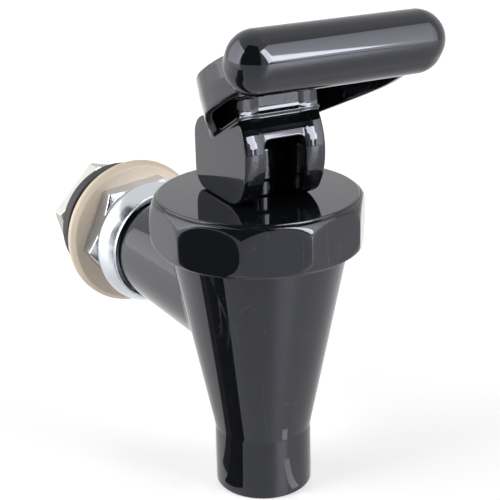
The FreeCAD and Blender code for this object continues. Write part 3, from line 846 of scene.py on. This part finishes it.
def coil_tree():
    """Geometry Nodes that wind a wire or a thread into a coil beside what they are given."""
    tree = bpy.data.node_groups.new("wound_coil", "GeometryNodeTree")
    kinds = {"Geometry": "NodeSocketGeometry", "Coil Radius": "NodeSocketFloat",
             "Length": "NodeSocketFloat", "Turns": "NodeSocketFloat",
             "Wire Radius": "NodeSocketFloat", "Wire Sides": "NodeSocketInt",
             "Start": "NodeSocketVector", "Tilt": "NodeSocketVector",
             "Material": "NodeSocketMaterial"}
    for label, kind in kinds.items():
        tree.interface.new_socket(label, in_out="INPUT", socket_type=kind)
    tree.interface.new_socket("Geometry", in_out="OUTPUT", socket_type="NodeSocketGeometry")
    size = add(tree, "NodeGroupInput").outputs
    spiral = add(tree, "GeometryNodeCurveSpiral",
                 [("Rotations", size["Turns"]), ("Start Radius", size["Coil Radius"]),
                  ("End Radius", size["Coil Radius"]), ("Height", size["Length"])],
                 {"Resolution": 48})
    upright = add(tree, "GeometryNodeSetCurveNormal", [("Curve", spiral.outputs["Curve"])],
                  mode="Z_UP")
    section = add(tree, "GeometryNodeCurvePrimitiveCircle",
                  [("Resolution", size["Wire Sides"]), ("Radius", size["Wire Radius"])])
    wire = add(tree, "GeometryNodeCurveToMesh",
               [("Curve", upright.outputs[0]), ("Profile Curve", section.outputs["Curve"])],
               {"Fill Caps": True})
    placed = add(tree, "GeometryNodeTransform",
                 [("Geometry", wire.outputs["Mesh"]), ("Translation", size["Start"]),
                  ("Rotation", size["Tilt"])])
    together = add(tree, "GeometryNodeJoinGeometry", [("Geometry", placed.outputs[0]),
                                                      ("Geometry", size["Geometry"])])
    real = add(tree, "GeometryNodeRealizeInstances", [("Geometry", together.outputs[0])])
    done = add(tree, "GeometryNodeSetMaterial",
               [("Geometry", real.outputs[0]), ("Material", size["Material"])])
    add(tree, "NodeGroupOutput", [("Geometry", done.outputs[0])])
    return tree


def wound(name, tree, points, faces, body, node, slot, **sizes):
    """A piece with a coil: the tree's result on these points and faces, made a plain mesh."""
    mesh = bpy.data.meshes.new(name)
    mesh.from_pydata((np.asarray(points).reshape(-1, 3) * MM).tolist(), [], faces)
    obj = bpy.data.objects.new(name, mesh)
    bpy.context.scene.collection.objects.link(obj)
    nodes = obj.modifiers.new("wound_coil", "NODES")
    nodes.node_group = tree
    for item in tree.interface.items_tree:
        key = item.name.replace(" ", "_").lower()
        if item.in_out == "INPUT" and key in sizes:
            nodes[item.identifier] = sizes[key]
    graph = bpy.context.evaluated_depsgraph_get()
    plain = bpy.data.meshes.new_from_object(obj.evaluated_get(graph), depsgraph=graph)
    obj.modifiers.remove(nodes)
    obj.data = plain
    plain.polygons.foreach_set("use_smooth", [True] * len(plain.polygons))
    plain.set_sharp_from_angle(angle=math.radians(38))
    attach(obj, body)
    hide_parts(node)
    return obj


def make_shank_and_spring():
    tree = coil_tree()
    # Threaded tube, pitch 1.5 mm, with the flange that the coupling nut holds
    low, high = span("shank", 1)
    flange, crest, pitch, depth, bore = span("shank", 0)[1], 7.9, 1.5, 0.7, 5.5
    root = crest - depth - 0.1
    profile = rounded((bore, low, 0.2), (flange, low, 0.3), (flange, NUT_BACK, 0.3),
                      (root, NUT_BACK, 0), (root, high - 0.4, 0.2), (root - 0.4, high, 0.2),
                      (bore, high, 0.3))
    points, faces = turned_mesh(finely(profile, 2.0), "shank", segments=128)
    length = high - NUT_BACK - 2.6
    wound("shank_threaded", tree, points, faces, "tap", "shank", "nickel_plate",
          coil_radius=(crest - depth) * MM, length=length * MM, turns=length / pitch,
          wire_radius=depth * MM, wire_sides=4, start=(0.0, (NUT_BACK + 1.3) * MM, 0.0),
          tilt=(-math.pi / 2, 0.0, 0.0), material=nickel)
    # Drawn wire of 0.9 mm wound in five turns
    low, high = span("return_spring", 2)
    wire = 0.45
    spring = wound("return_spring_wire", tree, [], [], "spring_turner", "return_spring",
                   "spring_steel", coil_radius=5.6 * MM,
                   length=(high - low - 2 * wire - 0.2) * MM,
                   turns=5.0, wire_radius=wire * MM, wire_sides=12,
                   start=(0.0, -REACH * MM, (low + wire + 0.1) * MM), tilt=(0.0, 0.0, 0.0),
                   material=spring_steel)
    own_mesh(spring)


for make in (make_tap_body, make_bonnet, make_stem, make_lever, make_coupling_nut, make_lock_nut,
             make_washers, make_retaining_ring, make_seat_cup, make_shank_and_spring):
    make()


# ---------------------------------------------------------------- stage

floor_z = cad_box[0][2]
bpy.ops.mesh.primitive_plane_add(size=3.0, location=(0, 0, floor_z))
floor = bpy.context.object
floor.name = "floor"
# Satin white acrylic; what the camera and the gloss see of it is lifted to white
paper, tree, shader = new_material("white_acrylic_floor", "f0f0f0", Roughness=0.3, IOR=1.5)
ray = add(tree, "ShaderNodeLightPath")
seen = add(tree, "ShaderNodeMath", [(0, ray.outputs["Is Camera Ray"]),
                                    (1, ray.outputs["Is Glossy Ray"])], operation="MAXIMUM")
lift = add(tree, "ShaderNodeMath", [(0, seen.outputs[0])], {1: 0.45}, operation="MULTIPLY")
shader.inputs["Emission Color"].default_value = (1, 1, 1, 1)
tree.links.new(lift.outputs[0], shader.inputs["Emission Strength"])
floor.data.materials.append(paper)

# A white light tent: the camera and the gloss see it at 1, and it fills the shadows a little
world = bpy.data.worlds.new("light_tent")
bpy.context.scene.world = world
world.use_nodes = True
tree = world.node_tree
tent = tree.nodes["Background"]
tent.inputs["Color"].default_value = (1, 1, 1, 1)
ray = add(tree, "ShaderNodeLightPath")
seen = add(tree, "ShaderNodeMath", [(0, ray.outputs["Is Camera Ray"]),
                                    (1, ray.outputs["Is Glossy Ray"])], operation="MAXIMUM")
seen = add(tree, "ShaderNodeMath", [(0, seen.outputs[0]),
                                    (1, ray.outputs["Is Transmission Ray"])], operation="MAXIMUM")
level = add(tree, "ShaderNodeMapRange", [("Value", seen.outputs[0])],
            {"To Min": 0.15, "To Max": 1.0})
tree.links.new(level.outputs[0], tent.inputs["Strength"])

MIDDLE = Vector((0.0, -REACH, 10.0)) * MM


def softbox(name, west, east, turn, rise, width, height, tilt=0.0, fills=True):
    """A softbox 2.5 m away that fades from its west to its east edge; its place and size
    are angles seen from the object, about the upright axis and above the horizon."""
    distance = 2.5
    turn, rise = math.radians(turn), math.radians(rise)
    away = Vector((math.cos(turn) * math.cos(rise), math.sin(turn) * math.cos(rise),
                   math.sin(rise)))
    light = bpy.data.lights.new(name, "AREA")
    light.shape = "RECTANGLE"
    light.size = 2 * distance * math.tan(math.radians(width) / 2) * math.cos(rise)
    light.size_y = 2 * distance * math.tan(math.radians(height) / 2)
    light.energy = math.pi * light.size * light.size_y
    light.use_nodes = True
    tree = light.node_tree
    across = add(tree, "ShaderNodeNewGeometry").outputs["Parametric"]
    across = add(tree, "ShaderNodeSeparateXYZ", [("Vector", across)])
    fade = add(tree, "ShaderNodeMapRange", [("Value", across.outputs["X"])],
               {"To Min": west, "To Max": east})
    tree.links.new(fade.outputs[0], tree.nodes["Emission"].inputs["Strength"])
    lamp = bpy.data.objects.new(name, light)
    lamp.location = MIDDLE + away * distance
    aim = (-away).to_track_quat("-Z", "Y").to_matrix() @ Matrix.Rotation(math.radians(tilt), 3,
                                                                        "Z")
    lamp.rotation_euler = aim.to_euler()
    lamp.visible_diffuse = fills
    bpy.context.scene.collection.objects.link(lamp)


# The core gives only the sharp highlights; the two walls light the object
softbox("right_softbox_core", west=15.0, east=15.0, turn=-79, rise=27, width=22, height=48,
        tilt=21, fills=False)
softbox("right_wall", west=4.6, east=1.4, turn=-51, rise=27, width=42, height=56)
softbox("left_wall", west=1.2, east=5.2, turn=146, rise=22, width=68, height=54)


def card(name, points, code, glow=0.0):
    """A card that only the gloss sees: a dark gap in the white tent, a painted shadow on the
    floor, or a small light.
    """
    mesh = bpy.data.meshes.new(name)
    mesh.from_pydata(points, [], [tuple(range(len(points)))])
    flag = bpy.data.objects.new(name, mesh)
    bpy.context.scene.collection.objects.link(flag)
    cloth, _, shader = new_material(name + "_cloth", code, Roughness=1.0)
    shader.inputs["Emission Color"].default_value = (1, 1, 1, 1)
    shader.inputs["Emission Strength"].default_value = glow
    mesh.materials.append(cloth)
    flag.visible_camera = flag.visible_diffuse = flag.visible_shadow = False


def corner(turn, rise, distance):
    """A point at an angle about the upright axis and above the horizon, in degrees."""
    turn, rise = math.radians(turn), math.radians(rise)
    return MIDDLE + distance * Vector((math.cos(turn), math.sin(turn), math.tan(rise)))


def on_floor(height, *places):
    """Points just above the floor, from places measured from the upright axis."""
    return [Vector((x, y - REACH, floor_z / MM + height)) * MM for x, y in places]


# A black flag stands round the camera; two more cards lie on the floor to its left as a
# painted shadow of the tap that only the gloss sees, and a small lit card beside the foot
# gives the spout its bright strip
card("camera_side_flag", [corner(-178, -2, 2.6), corner(-105, -2, 2.6),
                          corner(-105, 64, 2.6), corner(-178, 64, 2.6)], "0c0c0d")
# Painted shadow of the tap on the floor: a black core and a paler brownish edge, seen only in the
# gloss
card("floor_flag", on_floor(0.4, (-11, 2), (-11, -5), (-72, -13), (-260, -60), (-260, -8),
                            (-72, 20)), "0c0c0d")
card("floor_flag_edge", on_floor(0.3, (-14, 9), (-14, 0), (-72, 10), (-260, -10), (-260, 30),
                                 (-72, 34)), "6e625a")
card("spout_glint_card", on_floor(0.5, (1.1, -10.3), (3.2, -9.8), (6.6, -21), (2.3, -21.8)),
     "ffffff", 2.5)

# ---------------------------------------------------------------- camera

cam_data = bpy.data.cameras.new("camera")
cam_data.lens = 89.5
cam_data.sensor_width = 36.0
cam_data.clip_start = 0.01
camera = bpy.data.objects.new("camera", cam_data)
bpy.context.scene.collection.objects.link(camera)
bpy.context.scene.camera = camera
forward = Vector((0.5057, 0.7862, -0.3554)).normalized()
level_right = Vector((0.841, -0.541, 0.0)).normalized()
roll = math.radians(-1.37)
level_up = level_right.cross(forward)
right = level_right * math.cos(roll) + level_up * math.sin(roll)
up = right.cross(forward)
turn = Matrix((right, up, -forward)).transposed().to_4x4()
camera.matrix_world = Matrix.Translation((-0.1201, -0.2350, 0.0942)) @ turn

bpy.context.scene.view_settings.view_transform = "Standard"
